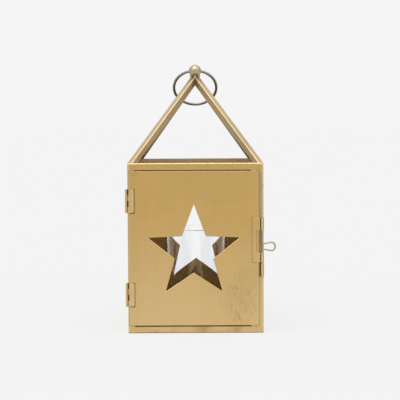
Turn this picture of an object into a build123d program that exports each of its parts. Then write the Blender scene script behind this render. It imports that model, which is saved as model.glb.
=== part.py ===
from build123d import *
from math import asin, atan2, cos, degrees, hypot, pi, sin, sqrt, tan
import os

# A square metal lantern with a star cut out of each side. The origin is the middle of its
# underside, +Z is up and the door faces -Y. All sizes are in millimetres.

# Body
body_width = 120.0
body_depth = 120.0
body_height = 150.8
bar = 6.0
bar_edge_radius = 0.9
base_sheet = 0.8
panel_sheet = 0.8
panel_recess = 1.0

# Star cut-outs
star_points = 5
star_tip_radius = 42.5
star_notch_radius = 17.8
star_lift = 0.55

# Door
door_sheet = 1.0
door_end_gap = 1.0
door_seat_gap = 0.35
door_reveal = 4.4
door_corner_radius = 1.3
stop_width = 5.0
stop_sheet = 1.0

# Hinges
hinge_height = 20.8
upper_hinge_inset = 33.2
lower_hinge_inset = 34.6
hinge_sheet = 0.5
hinge_pin_diameter = 0.9
hinge_leaf_width = 6.8
hinge_corner_radius = 1.2
knuckle_count = 4
knuckle_gap = 0.2
barrel_gap = 1.3
pin_clearance = 0.05

# Latch
bolt_wire = 1.4
bolt_axis_inset = 1.2
bolt_engagement = 2.0
bolt_free_gap = 0.3
latch_sheet = 0.6
latch_plate_width = 8.8
latch_spine_width = 3.2
latch_corner_radius = 0.8
strike_drop = 25.4
strike_height = 12.3
keeper_strike_gap = 0.7
lower_keeper_height = 8.4
latch_window_height = 20.1
upper_keeper_height = 10.9
keeper_slit_width = 0.9
keeper_slit_end = 1.2
loop_neck_spacing = 4.4
loop_neck_bend = 0.8
loop_length = 11.2
loop_width = 8.8
loop_end_roundness = 0.95

# Roof legs, ball and carrying ring
roof_rise = 75.85
leg_inset = 4.9
leg_top_cut = 2.48
ball_diameter = 11.6
ball_flat_depth = 0.8
ball_bore_edge = 0.2
ring_diameter = 39.3
ring_wire = 2.6
ring_clearance = 0.2
ring_bore_clearance = 0.15

# Glass and its seat
glass_diameter = 57.0
glass_height = 87.8
glass_wall = 1.4
glass_floor = 4.0
glass_foot_radius = 2.5
glass_rim_radius = 0.6
glass_clearance = 0.5
seat_height = 5.0
seat_sheet = 0.8

# Worked-out places
half_width = body_width / 2
half_depth = body_depth / 2
opening_width = body_width - 2 * bar
opening_depth = body_depth - 2 * bar
opening_height = body_height - 2 * bar
door_front = half_depth + door_seat_gap + door_sheet
sides = (("left", -1), ("right", 1))
ends = (("front", -1), ("back", 1))
on_floor = (Align.CENTER, Align.CENTER, Align.MIN)

os.makedirs("parts", exist_ok=True)


def save(piece, name):
    """Labels a finished piece and writes its file."""
    piece.part.label = name
    export_step(piece.part, f"parts/{name}.step")


def star_corners(middle_across):
    """Corners of an upright star that stands star_lift above the middle of the body's height."""
    turn = pi / star_points
    centre_up = body_height / 2 + star_lift - star_tip_radius * (1 - cos(turn)) / 2
    corners = []
    for index in range(2 * star_points):
        radius = star_notch_radius if index % 2 else star_tip_radius
        angle = index * turn
        corners.append((middle_across + radius * sin(angle), centre_up + radius * cos(angle)))
    return corners


# Square bar frame, dressed flush where the bars meet, so only the edges of the whole block are rounded
for side, x_sign in sides:
    for end, y_sign in ends:
        post_x = x_sign * (half_width - bar / 2)
        post_y = y_sign * (half_depth - bar / 2)
        with BuildPart() as post:
            with Locations((post_x, post_y, 0)):
                Box(bar, bar, body_height, align=on_floor)
            side_face = post.faces().sort_by(Axis.X)[-1 if x_sign > 0 else 0]
            end_face = post.faces().sort_by(Axis.Y)[-1 if y_sign > 0 else 0]
            corner_edge = side_face.edges().filter_by(Axis.Z).sort_by(Axis.Y)[-1 if y_sign > 0 else 0]
            level_edges = side_face.edges().filter_by(Axis.Y) + end_face.edges().filter_by(Axis.X)
            fillet([corner_edge, *level_edges], bar_edge_radius)
        save(post, f"post_{end}_{side}")

rail_runs = [(end, Plane.YZ, y_sign * (half_depth - bar / 2), opening_width) for end, y_sign in ends]
rail_runs += [(side, Plane.XZ, x_sign * (half_width - bar / 2), opening_depth) for side, x_sign in sides]
for level, rail_middle in (("bottom", bar / 2), ("top", body_height - bar / 2)):
    for place, rail_plane, rail_across, rail_length in rail_runs:
        with BuildPart() as rail:
            with BuildSketch(rail_plane) as section:
                with Locations((rail_across, rail_middle)):
                    Rectangle(bar, bar)
                outer_corners = section.vertices().group_by(Axis.X)[-1 if rail_across > 0 else 0]
                block_edge = outer_corners.sort_by(Axis.Y)[-1 if level == "top" else 0]
                fillet(block_edge, bar_edge_radius)
            extrude(amount=rail_length / 2, both=True)
        save(rail, f"{level}_rail_{place}")

with BuildPart() as base_plate:
    Box(opening_width, opening_depth, base_sheet, align=on_floor)
save(base_plate, "base_plate")

# Fixed star panels, set back a little from the bars' outer faces
panel_planes = (
    ("back", Plane.XZ.offset(panel_recess - half_depth), opening_width),
    ("left", Plane.YZ.offset(panel_recess - half_width), opening_depth),
    ("right", Plane.YZ.offset(half_width - panel_recess - panel_sheet), opening_depth),
)
for side, panel_plane, panel_width in panel_planes:
    with BuildPart() as panel:
        with BuildSketch(panel_plane):
            with Locations((0, body_height / 2)):
                Rectangle(panel_width, opening_height)
            with BuildLine():
                Polyline(star_corners(0), close=True)
            make_face(mode=Mode.SUBTRACT)
        extrude(amount=panel_sheet)
    save(panel, f"{side}_panel")

# Hinge axis: clear of the corner, so that the seat of each leaf just touches its own knuckles
barrel_radius = hinge_pin_diameter / 2 + pin_clearance + hinge_sheet
hinge_x = -half_width - barrel_radius
hinge_y = -door_front - barrel_radius
leaf_setback = barrel_radius + barrel_gap
knuckle_pitch = hinge_height / knuckle_count

# Door sheet, lying in front of the posts and between the rails
door_left = hinge_x + leaf_setback
door_right = half_width - door_reveal
door_middle = (door_left + door_right) / 2
door_height = opening_height - 2 * door_end_gap
with BuildPart() as door_panel:
    with BuildSketch(Plane.XZ.offset(half_depth + door_seat_gap)):
        with Locations((door_middle, body_height / 2)):
            RectangleRounded(door_right - door_left, door_height, door_corner_radius)
        with BuildLine():
            Polyline(star_corners(door_middle), close=True)
        make_face(mode=Mode.SUBTRACT)
    extrude(amount=door_sheet)
save(door_panel, "door_panel")

with BuildPart() as door_stop:
    with BuildSketch(Plane.XZ.offset(half_depth - stop_sheet)):
        with Locations((half_width - bar, body_height / 2)):
            Rectangle(stop_width, opening_height, align=(Align.MAX, Align.CENTER))
    extrude(amount=stop_sheet)
save(door_stop, "door_stop")


def hinge_leaf(bottom, leaf_plane, own_knuckles):
    """One leaf: a plate on leaf_plane and every other knuckle, joined to it by short tongues."""
    with BuildPart() as leaf:
        with BuildSketch(leaf_plane) as plate:
            with Locations((leaf_setback, bottom)):
                Rectangle(hinge_leaf_width - leaf_setback, hinge_height, align=Align.MIN)
            free_corners = plate.vertices().group_by(Axis.X)[-1]
            fillet(free_corners, hinge_corner_radius)
        extrude(amount=hinge_sheet / 2, both=True)
        for index in own_knuckles:
            knuckle_bottom = bottom + index * knuckle_pitch + knuckle_gap / 2
            knuckle_height = knuckle_pitch - knuckle_gap
            with BuildSketch(leaf_plane):
                with Locations((0, knuckle_bottom)):
                    Rectangle(leaf_setback, knuckle_height, align=Align.MIN)
            extrude(amount=hinge_sheet / 2, both=True)
            with Locations((hinge_x, hinge_y, knuckle_bottom)):
                Cylinder(barrel_radius, knuckle_height, align=on_floor)
        with Locations((hinge_x, hinge_y, bottom)):
            bore_radius = hinge_pin_diameter / 2 + pin_clearance
            Cylinder(bore_radius, hinge_height, align=on_floor, mode=Mode.SUBTRACT)
    return leaf


# Two butt hinges on the left edge, with the frame's knuckle at the top of each
frame_leaf_plane = Plane((-half_width - hinge_sheet / 2, hinge_y, 0), x_dir=(0, 1, 0), z_dir=(1, 0, 0))
door_leaf_plane = Plane((hinge_x, -door_front - hinge_sheet / 2, 0), x_dir=(1, 0, 0), z_dir=(0, -1, 0))
for level, hinge_middle in (("upper", body_height - upper_hinge_inset), ("lower", lower_hinge_inset)):
    hinge_bottom = hinge_middle - hinge_height / 2
    frame_knuckles = range(knuckle_count - 1, -1, -2)
    door_knuckles = range(knuckle_count - 2, -1, -2)
    save(hinge_leaf(hinge_bottom, frame_leaf_plane, frame_knuckles), f"{level}_hinge_frame_leaf")
    save(hinge_leaf(hinge_bottom, door_leaf_plane, door_knuckles), f"{level}_hinge_door_leaf")
    with BuildPart() as hinge_pin:
        with Locations((hinge_x, hinge_y, hinge_bottom)):
            Cylinder(hinge_pin_diameter / 2, hinge_height, align=on_floor)
    save(hinge_pin, f"{level}_hinge_pin")

# Latch: a plate on the door with two keepers rolled forwards round the bolt, each with a slit beside it
keeper_radius = bolt_wire / 2 + pin_clearance + latch_sheet
keeper_bore = bolt_wire / 2 + pin_clearance
bolt_x = half_width - bolt_axis_inset
bolt_y = -door_front - keeper_radius
latch_plate_left = bolt_x - latch_plate_width
roll_edge = bolt_x - sqrt(keeper_radius**2 - (keeper_radius - latch_sheet) ** 2)
strike_bottom = body_height / 2 - strike_drop
strike_top = strike_bottom + strike_height
lower_keeper_bottom = strike_top + keeper_strike_gap
lower_keeper_top = lower_keeper_bottom + lower_keeper_height
upper_keeper_bottom = lower_keeper_top + latch_window_height
upper_keeper_top = upper_keeper_bottom + upper_keeper_height
with BuildPart() as latch_plate:
    with BuildSketch(Plane.XZ.offset(door_front)) as outline:
        with Locations((latch_plate_left, lower_keeper_bottom)):
            Rectangle(latch_plate_width, upper_keeper_top - lower_keeper_bottom, align=Align.MIN)
        fillet(outline.vertices().group_by(Axis.X)[0], latch_corner_radius)
        with Locations((latch_plate_left + latch_spine_width, lower_keeper_top)):
            Rectangle(body_width, latch_window_height, align=Align.MIN, mode=Mode.SUBTRACT)
    extrude(amount=latch_sheet)
    for keeper_bottom, keeper_height in (
        (lower_keeper_bottom, lower_keeper_height),
        (upper_keeper_bottom, upper_keeper_height),
    ):
        with Locations((bolt_x, bolt_y, keeper_bottom)):
            Cylinder(keeper_radius, keeper_height, align=on_floor)
            Cylinder(keeper_bore, keeper_height, align=on_floor, mode=Mode.SUBTRACT)
        with BuildSketch(Plane.XZ.offset(door_front)):
            with Locations((roll_edge, keeper_bottom + keeper_slit_end)):
                slit_height = keeper_height - 2 * keeper_slit_end
                Rectangle(keeper_slit_width, slit_height, align=(Align.MAX, Align.MIN))
        extrude(amount=latch_sheet, mode=Mode.SUBTRACT)
save(latch_plate, "latch_plate")

with BuildPart() as latch_strike:
    with BuildSketch(Plane.XY.offset(strike_bottom)):
        with Locations((bolt_x, bolt_y)):
            Circle(keeper_radius)
        with Locations((bolt_x, -half_depth)):
            Rectangle(2 * keeper_radius, -half_depth - bolt_y, align=(Align.CENTER, Align.MAX))
        with Locations((bolt_x, bolt_y)):
            Circle(keeper_bore, mode=Mode.SUBTRACT)
    extrude(amount=strike_height)
save(latch_strike, "latch_strike")

# The bolt is one bent wire, drawn up just clear of the strike
bolt_throw = bolt_engagement + bolt_free_gap
bolt_bottom = strike_top + bolt_free_gap
bolt_top = upper_keeper_top - bolt_free_gap
loop_half_width = loop_width / 2
loop_flare = atan2(loop_half_width - loop_neck_spacing / 2, loop_length)
loop_turn = pi / 2 + loop_flare
loop_bend = loop_end_roundness * loop_half_width / tan(loop_turn / 2)
# Room along the bolt that each neck needs outside a keeper: for its bend, and for its flaring wire
neck_bend_reach = loop_neck_bend * tan(loop_turn / 2)
neck_wire_reach = bolt_wire / 2 / cos(loop_flare) + keeper_radius * tan(loop_flare)
neck_reach = max(neck_bend_reach, neck_wire_reach) + bolt_free_gap
lower_neck = lower_keeper_top + bolt_throw + neck_reach
upper_neck = lower_neck + loop_neck_spacing
loop_middle = (lower_neck + upper_neck) / 2
loop_end = bolt_x + loop_length
bolt_rise = upper_keeper_bottom - upper_neck - neck_reach
with BuildPart() as latch_bolt:
    with BuildLine(Plane.XZ.offset(-bolt_y)) as bolt_route:
        FilletPolyline(
            (bolt_x, bolt_bottom),
            (bolt_x, lower_neck),
            (loop_end, loop_middle - loop_half_width),
            (loop_end, loop_middle + loop_half_width),
            (bolt_x, upper_neck),
            (bolt_x, bolt_top),
            radius=(loop_neck_bend, loop_bend, loop_bend, loop_neck_bend),
        )
    bolt_path = bolt_route.wires()[0]
    with BuildSketch(Plane(bolt_path @ 0, z_dir=bolt_path % 0)):
        Circle(bolt_wire / 2)
    sweep(path=bolt_path)
save(latch_bolt, "latch_bolt")

# Roof legs: square bars in the diagonal planes, mitred where they meet
foot_x = half_width - leg_inset
foot_y = half_depth - leg_inset
apex = Vector(0, 0, body_height + roof_rise)
leg_slant = atan2(hypot(foot_x, foot_y), roof_rise)
leg_length = hypot(foot_x, foot_y, roof_rise)
leg_top = apex.Z + bar / 2 / sin(leg_slant) - leg_top_cut


def leg_plane(x_sign, y_sign):
    """Section plane half-way up a leg, with its X axis level."""
    foot = Vector(x_sign * foot_x, y_sign * foot_y, body_height)
    along = apex - foot
    return Plane((foot + apex) / 2, x_dir=along.cross(Vector(0, 0, 1)), z_dir=along)


for side, x_sign in sides:
    for end, y_sign in ends:
        with BuildPart() as roof_leg:
            with BuildSketch(leg_plane(x_sign, y_sign)):
                RectangleRounded(bar, bar, bar_edge_radius)
            extrude(amount=leg_length / 2 + 2 * bar, both=True)
            split(bisect_by=Plane.XY.offset(body_height), keep=Keep.TOP)
            split(bisect_by=Plane.XY.offset(leg_top), keep=Keep.BOTTOM)
            split(bisect_by=Plane((0, 0, 0), z_dir=(x_sign, 0, 0)), keep=Keep.TOP)
            split(bisect_by=Plane((0, 0, 0), z_dir=(0, y_sign, 0)), keep=Keep.TOP)
        save(roof_leg, f"roof_leg_{end}_{side}")

# Ball, flat where it sits on the legs, with a cross bore wide enough for the curved ring
ball_radius = ball_diameter / 2
ball_level = leg_top + ball_radius - ball_flat_depth
ring_radius = ring_diameter / 2
ring_sagitta = ring_radius - sqrt(ring_radius**2 - ball_radius**2)
ball_bore = ring_wire / 2 + ring_sagitta / 2 + ring_bore_clearance
with BuildPart(Plane.XY.offset(ball_level)) as ball_finial:
    Sphere(ball_radius)
    Cylinder(ball_bore, 2 * ball_diameter, rotation=(0, 90, 0), mode=Mode.SUBTRACT)
    bore_rims = ball_finial.edges().filter_by(GeomType.CIRCLE).group_by(SortBy.RADIUS)[0]
    fillet(bore_rims, ball_bore_edge)
    split(bisect_by=Plane.XY.offset(leg_top), keep=Keep.TOP)
save(ball_finial, "ball_finial")

# The ring leans back until its wire is just clear of the two back legs. Seen from the side a leg
# leans by side_lean, and its outermost rounded edge stands leg_reach off its centre line.
side_lean = atan2(foot_y, roof_rise)
side_normal = Vector(0, cos(side_lean), sin(side_lean))
back_leg = leg_plane(1, 1)
leg_turn = abs(back_leg.x_dir.dot(side_normal)) + abs(back_leg.y_dir.dot(side_normal))
leg_reach = (bar / 2 - bar_edge_radius) * leg_turn + bar_edge_radius
ball_rise = ball_level - apex.Z
ring_centre_drop = ring_radius - ring_sagitta / 2
# Distance down the ring, from the ball, to where its circle crosses the legs
spread = foot_x / roof_rise
cross_slope = spread * cos(side_lean)
cross_shift = spread * ball_rise
cross_mean = cross_slope * cross_shift + ring_centre_drop
cross_square = cross_slope**2 + 1
cross_rest = cross_shift**2 + ring_centre_drop**2 - ring_radius**2
crossing = (cross_mean + sqrt(cross_mean**2 - cross_square * cross_rest)) / cross_square
ring_standoff = leg_reach + ring_wire / 2 + ring_clearance - ball_rise * sin(side_lean)
ring_lean = side_lean + asin(ring_standoff / crossing)
ring_centre = Vector(0, ring_centre_drop * sin(ring_lean), ball_level - ring_centre_drop * cos(ring_lean))
ring_plane = Plane(ring_centre, x_dir=(1, 0, 0), z_dir=(0, cos(ring_lean), sin(ring_lean)))
with BuildPart(ring_plane) as carrying_ring:
    Torus(ring_radius, ring_wire / 2)
save(carrying_ring, "carrying_ring")

# Glass cup standing on the base plate inside a low seat ring
glass_radius = glass_diameter / 2
with BuildPart(Plane.XY.offset(base_sheet)) as glass_cup:
    Cylinder(glass_radius, glass_height, align=on_floor)
    fillet(glass_cup.faces().sort_by(Axis.Z)[0].edges(), glass_foot_radius)
    with Locations((0, 0, glass_floor)):
        Cylinder(glass_radius - glass_wall, glass_height, align=on_floor, mode=Mode.SUBTRACT)
    fillet(glass_cup.faces().sort_by(Axis.Z)[-1].edges(), glass_rim_radius)
save(glass_cup, "glass_cup")

seat_bore = glass_radius + glass_clearance
with BuildPart(Plane.XY.offset(base_sheet)) as glass_seat:
    Cylinder(seat_bore + seat_sheet, seat_height, align=on_floor)
    Cylinder(seat_bore, seat_height, align=on_floor, mode=Mode.SUBTRACT)
save(glass_seat, "glass_seat")

print(f"hinge axis x {hinge_x:.2f} y {hinge_y:.2f}, door from {door_left:.2f} to {door_right:.2f}")
print(f"bolt axis x {bolt_x:.2f} y {bolt_y:.2f}, drop to lock {bolt_throw:.2f}")
print(f"bolt can rise {bolt_rise:.2f}, middle of its loop {loop_middle:.2f}")
print(f"ball level {ball_level:.2f}, leg tops {leg_top:.2f}, bore radius {ball_bore:.2f}")
print(f"ring leans {degrees(ring_lean):.2f}, swings {degrees(2 * pi - 2 * ring_lean):.2f}")
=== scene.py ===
import math

import bmesh
import bpy
from bpy.props import FloatProperty, FloatVectorProperty, IntProperty, PointerProperty
from bpy.types import Operator, Panel, PropertyGroup
from mathutils import Matrix, Vector, noise


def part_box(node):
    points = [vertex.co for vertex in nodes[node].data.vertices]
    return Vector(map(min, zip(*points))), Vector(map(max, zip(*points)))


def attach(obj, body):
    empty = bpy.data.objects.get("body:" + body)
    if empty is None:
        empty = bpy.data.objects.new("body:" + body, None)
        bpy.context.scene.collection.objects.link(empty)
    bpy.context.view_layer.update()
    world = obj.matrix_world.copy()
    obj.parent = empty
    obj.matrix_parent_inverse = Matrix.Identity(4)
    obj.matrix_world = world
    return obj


bl_info = {
    "name": "Star lantern",
    "version": (1, 0, 0),
    "blender": (4, 5, 0),
    "location": "3D View > Sidebar > Lantern",
    "description": "Finishes, solder and small fittings of a square brass lantern with star cut-outs",
    "category": "Object",
}

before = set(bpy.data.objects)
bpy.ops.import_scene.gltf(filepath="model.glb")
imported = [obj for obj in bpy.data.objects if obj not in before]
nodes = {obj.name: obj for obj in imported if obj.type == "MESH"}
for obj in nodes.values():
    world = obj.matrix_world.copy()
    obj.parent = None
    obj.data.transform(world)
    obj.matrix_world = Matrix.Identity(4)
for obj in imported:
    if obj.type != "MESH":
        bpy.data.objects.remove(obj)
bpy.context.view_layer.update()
block = (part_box("post_front_left")[0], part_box("post_back_right")[1])
bolt_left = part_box("latch_bolt")[0].x
along_x, along_y, along_z = (1, 0, 0), (0, 1, 0), (0, 0, 1)

posts = [name for name in nodes if name.startswith("post_")]
rails = [name for name in nodes if "_rail_" in name]
legs = [name for name in nodes if name.startswith("roof_leg_")]
fixed_panels = ("back_panel", "left_panel", "right_panel")
hinge_levels = ("upper", "lower")


# Settings

class LanternFinishes(PropertyGroup):
    """Colours and surface of the lantern's metals and glass."""

    brass: FloatVectorProperty(
        name="Brass", description="Main colour of the satin brass",
        subtype="COLOR", min=0.0, max=1.0, default=(0.585, 0.384, 0.125))
    warm_brass: FloatVectorProperty(
        name="Warm brass", description="Warmer clouds in the toning of the brass",
        subtype="COLOR", min=0.0, max=1.0, default=(0.625, 0.392, 0.128))
    toned_brass: FloatVectorProperty(
        name="Toned brass", description="Deeper, greener clouds in the toning of the brass",
        subtype="COLOR", min=0.0, max=1.0, default=(0.490, 0.350, 0.098))
    # Also the painted reflection of the pale floor, laid over the lower part of the door, the panels and the posts.
    pale_brass: FloatVectorProperty(
        name="Pale brass", description="Brass where handling has rubbed it paler",
        subtype="COLOR", min=0.0, max=1.0, default=(0.725, 0.506, 0.227))
    # The brown of real specks and scuffs, also used as the colour of painted shade under things and round fittings.
    tarnish: FloatVectorProperty(
        name="Tarnish", description="Brown of the specks and scuffs",
        subtype="COLOR", min=0.0, max=1.0, default=(0.140, 0.080, 0.022))
    # Painted shade: this red-brown darkens the inside faces of the sheets, and is also the colour of their specks.
    inside_shade_brown: FloatVectorProperty(
        name="Inside shade brown", description="Red-brown of the panels' smoked insides",
        subtype="COLOR", min=0.0, max=1.0, default=(0.160, 0.052, 0.006))
    leg_brass: FloatVectorProperty(
        name="Leg brass", description="Older brass of the roof legs",
        subtype="COLOR", min=0.0, max=1.0, default=(0.580, 0.445, 0.258))
    greyed_brass: FloatVectorProperty(
        name="Greyed brass",
        description="Duller brass of the front posts high up, and of clouds on the legs and the ball",
        subtype="COLOR", min=0.0, max=1.0, default=(0.390, 0.315, 0.184))
    ball_brass: FloatVectorProperty(
        name="Ball brass", description="Paler, greyer brass of the ball",
        subtype="COLOR", min=0.0, max=1.0, default=(0.466, 0.384, 0.243))
    # Painted sheen: this pale colour on faces that look up is partly real dusting and partly a painted highlight.
    dust: FloatVectorProperty(
        name="Dust", description="Pale bloom on the faces that look up",
        subtype="COLOR", min=0.0, max=1.0, default=(0.690, 0.590, 0.440))
    # Partly real: broken and worn edges are brighter; partly a painted highlight along them.
    rubbed_and_lit_edge: FloatVectorProperty(
        name="Rubbed and lit edge", description="Bright brass of broken sheet edges and worn bar edges",
        subtype="COLOR", min=0.0, max=1.0, default=(0.800, 0.600, 0.320))
    latch_brass: FloatVectorProperty(
        name="Latch brass", description="Brass of the latch plate, the strike and the back top rail",
        subtype="COLOR", min=0.0, max=1.0, default=(0.690, 0.475, 0.205))
    fitting_brass: FloatVectorProperty(
        name="Fitting brass", description="Rolled brass of the hinges",
        subtype="COLOR", min=0.0, max=1.0, default=(0.740, 0.510, 0.255))
    ring_wire: FloatVectorProperty(
        name="Ring wire", description="Dark toned wire of the carrying ring",
        subtype="COLOR", min=0.0, max=1.0, default=(0.360, 0.335, 0.290))
    # Also the colour of the painted shade on the ring's underside.
    blackened_wire: FloatVectorProperty(
        name="Blackened wire", description="Ring wire where its dark toning is left",
        subtype="COLOR", min=0.0, max=1.0, default=(0.080, 0.072, 0.060))
    bolt_wire: FloatVectorProperty(
        name="Bolt wire", description="Greyed brass wire of the latch bolt and the hinge pins",
        subtype="COLOR", min=0.0, max=1.0, default=(0.420, 0.350, 0.250))
    solder: FloatVectorProperty(
        name="Solder", description="Brassed solder where the bars meet",
        subtype="COLOR", min=0.0, max=1.0, default=(0.660, 0.545, 0.380))
    glass: FloatVectorProperty(
        name="Glass", description="Clear glass of the candle cup",
        subtype="COLOR", min=0.0, max=1.0, default=(1.000, 1.000, 1.000))
    sheet_roughness: FloatProperty(
        name="Sheet roughness", description="How satin the door and panels are",
        subtype="FACTOR", min=0.0, max=1.0, default=0.42)
    bar_roughness: FloatProperty(
        name="Bar roughness", description="How satin the square bars are",
        subtype="FACTOR", min=0.0, max=1.0, default=0.36)


class LanternDetails(PropertyGroup):
    """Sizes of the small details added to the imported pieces."""

    broken_edge: FloatProperty(
        name="Broken edge", description="Width of the break along sheet edges",
        unit="LENGTH", min=0.00005, max=0.001, default=0.00022)
    door_edge: FloatProperty(
        name="Door edge", description="Width of the break along the edges of the door and its star",
        unit="LENGTH", min=0.00005, max=0.0006, default=0.0004)
    foot_bead: FloatProperty(
        name="Foot bead", description="Radius of the solder round the foot of each leg",
        unit="LENGTH", min=0.0001, max=0.002, default=0.00045)
    seam_bead: FloatProperty(
        name="Seam bead", description="Radius of the solder along the inside of the panels",
        unit="LENGTH", min=0.0001, max=0.002, default=0.0006)
    neck_lump: FloatProperty(
        name="Neck lump", description="Size of the solder lumps under the ball",
        unit="LENGTH", min=0.0002, max=0.003, default=0.0013)
    neck_lumps: IntProperty(
        name="Neck lumps", description="Number of solder lumps under the ball", min=3, max=16, default=4)
    neck_reach: FloatProperty(
        name="Neck reach", description="How far out the solder lumps under the ball stand",
        unit="LENGTH", min=0.001, max=0.006, default=0.0034)
    pin_head: FloatProperty(
        name="Pin head", description="Radius of the peened ends of the hinge pins",
        unit="LENGTH", min=0.0003, max=0.0012, default=0.00072)


class LanternStage(PropertyGroup):
    """Camera, floor and light."""

    background: FloatProperty(
        name="Background", description="Level of the plain pale background",
        subtype="FACTOR", min=0.0, max=1.0, default=0.9135)
    floor_paint: FloatProperty(
        name="Floor paint", description="Paint of the floor under the studio light",
        subtype="FACTOR", min=0.0, max=1.0, default=0.62)
    camera_place: FloatVectorProperty(
        name="Camera place", description="Where the camera stands", subtype="TRANSLATION", unit="LENGTH",
        default=(0.00400, -1.20213, 0.19422))
    camera_pitch: FloatProperty(
        name="Camera pitch", description="How far the camera looks down", subtype="ANGLE", default=0.06645)
    camera_roll: FloatProperty(
        name="Camera roll", description="How far the camera leans", subtype="ANGLE", default=0.00505)
    lens: FloatProperty(
        name="Lens", description="Focal length on a 36 mm sensor", subtype="DISTANCE_CAMERA", default=117.0)
    key_light: FloatProperty(
        name="Key light", description="Strength of the soft light overhead", min=0.0, max=10.0, default=1.1)
    light_from: FloatVectorProperty(
        name="Light from", description="Way to the soft light overhead", subtype="DIRECTION",
        default=(-0.12, -0.45, 0.885))


# Node helpers

def feed(tree, socket, source):
    """Links a source socket to an input, or sets the input to a plain value."""
    if isinstance(source, bpy.types.NodeSocket):
        tree.links.new(source, socket)
    else:
        socket.default_value = source


def worked(tree, operation, first, second=0.0):
    """Arithmetic on two values."""
    node = tree.nodes.new("ShaderNodeMath")
    node.operation = operation
    feed(tree, node.inputs[0], first)
    feed(tree, node.inputs[1], second)
    return node.outputs[0]


def ramped(tree, value, low, high, to_low=0.0, to_high=1.0):
    """A smooth change from to_low to to_high as the value goes from low to high."""
    node = tree.nodes.new("ShaderNodeMapRange")
    node.interpolation_type = "SMOOTHSTEP"
    for socket, source in zip(node.inputs, (value, low, high, to_low, to_high)):
        feed(tree, socket, source)
    return node.outputs[0]


def mixed(tree, share, first, second):
    """Two colours mixed by a share."""
    node = tree.nodes.new("ShaderNodeMix")
    node.data_type = "RGBA"
    feed(tree, node.inputs[0], share)
    feed(tree, node.inputs[6], first)
    feed(tree, node.inputs[7], second)
    return node.outputs[2]


def vectors(tree, operation, first, second=(0.0, 0.0, 0.0)):
    """Arithmetic on two vectors, giving a vector."""
    node = tree.nodes.new("ShaderNodeVectorMath")
    node.operation = operation
    feed(tree, node.inputs[0], first)
    feed(tree, node.inputs[1], second)
    return node.outputs[0]


def measured(tree, operation, first, second=(0.0, 0.0, 0.0)):
    """A length, distance or product of two vectors."""
    return vectors(tree, operation, first, second).node.outputs[1]


def parted(tree, vector):
    """The three parts of a vector."""
    node = tree.nodes.new("ShaderNodeSeparateXYZ")
    feed(tree, node.inputs[0], vector)
    return node.outputs


def grained(tree, place, scale, detail, roughness):
    """Noise of so many grains per metre."""
    node = tree.nodes.new("ShaderNodeTexNoise")
    for name, source in (("Vector", place), ("Scale", scale), ("Detail", detail), ("Roughness", roughness)):
        feed(tree, node.inputs[name], source)
    return node.outputs[0]


def place_on_piece(tree):
    """Coordinates that stay with the piece."""
    return tree.nodes.new("ShaderNodeTexCoord").outputs["Object"]


def solid(colour):
    """A colour with full alpha."""
    return (*colour, 1.0)


def effect(name, takes, gives):
    """A new node group with its named sockets, its inputs node and its outputs node."""
    tree = bpy.data.node_groups.new(name, "ShaderNodeTree")
    for label, kind, default in takes:
        tree.interface.new_socket(label, in_out="INPUT", socket_type=kind).default_value = default
    for label, kind in gives:
        tree.interface.new_socket(label, in_out="OUTPUT", socket_type=kind)
    return tree, tree.nodes.new("NodeGroupInput"), tree.nodes.new("NodeGroupOutput")


def use_effect(tree, group, **values):
    """Places an effect in a material with its own values, and returns the node."""
    node = tree.nodes.new("ShaderNodeGroup")
    node.node_tree = group
    for label, source in values.items():
        feed(tree, node.inputs[label.replace("_", " ")], source)
    return node


# Effects shared by the finishes

def built_once(build):
    """Builds an effect's node group the first time it is asked for, and hands out the same one after that."""
    name = build.__name__.replace("_", " ")

    def find():
        return bpy.data.node_groups.get(name) or build(name)

    return find


@built_once
def mottling(name):
    """Cloudy toning: a main colour with warm and deep clouds, paler towards the foot as a painted reflection of the
    pale floor, and rubbed at the top.
    """
    tree, given, out = effect(
        name,
        (("Main", "NodeSocketColor", (0.6, 0.4, 0.2, 1)), ("Warm", "NodeSocketColor", (0.7, 0.4, 0.2, 1)),
         ("Deep", "NodeSocketColor", (0.5, 0.3, 0.1, 1)), ("Clouds", "NodeSocketFloat", 40.0),
         ("Strength", "NodeSocketFloat", 0.5), ("Foot", "NodeSocketColor", (0.7, 0.5, 0.3, 1)),
         ("Rubbed foot", "NodeSocketFloat", 0.0), ("Top", "NodeSocketColor", (0.6, 0.4, 0.2, 1)),
         ("Rubbed top", "NodeSocketFloat", 0.0)),
        (("Colour", "NodeSocketColor"),))
    foot_fades, foot_full, foot_patches = 0.115, 0.010, 0.06
    top_fades, top_full = 0.1400, 0.1445
    wide_scale = 0.31
    place = place_on_piece(tree)
    clouds = grained(tree, place, given.outputs["Clouds"], 5.0, 0.6)
    wide = grained(tree, place, worked(tree, "MULTIPLY", given.outputs["Clouds"], wide_scale), 3.0, 0.55)
    height = parted(tree, place)[2]
    patchy = worked(tree, "MULTIPLY", worked(tree, "SUBTRACT", wide, 0.5), foot_patches)
    low_down = ramped(tree, worked(tree, "ADD", height, patchy), foot_fades, foot_full)
    high_up = ramped(tree, height, top_fades, top_full)
    warm = worked(tree, "MULTIPLY", ramped(tree, clouds, 0.42, 0.72), given.outputs["Strength"])
    deep = worked(tree, "MULTIPLY", ramped(tree, wide, 0.48, 0.70), given.outputs["Strength"])
    colour = mixed(tree, warm, given.outputs["Main"], given.outputs["Warm"])
    colour = mixed(tree, deep, colour, given.outputs["Deep"])
    # painted reflection: paler towards the foot, as if the pale floor showed in the metal
    low_down = worked(tree, "MULTIPLY", low_down, given.outputs["Rubbed foot"])
    colour = mixed(tree, low_down, colour, given.outputs["Foot"])
    high_up = worked(tree, "MULTIPLY", high_up, given.outputs["Rubbed top"])
    colour = mixed(tree, high_up, colour, given.outputs["Top"])
    feed(tree, out.inputs["Colour"], colour)
    return tree


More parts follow.
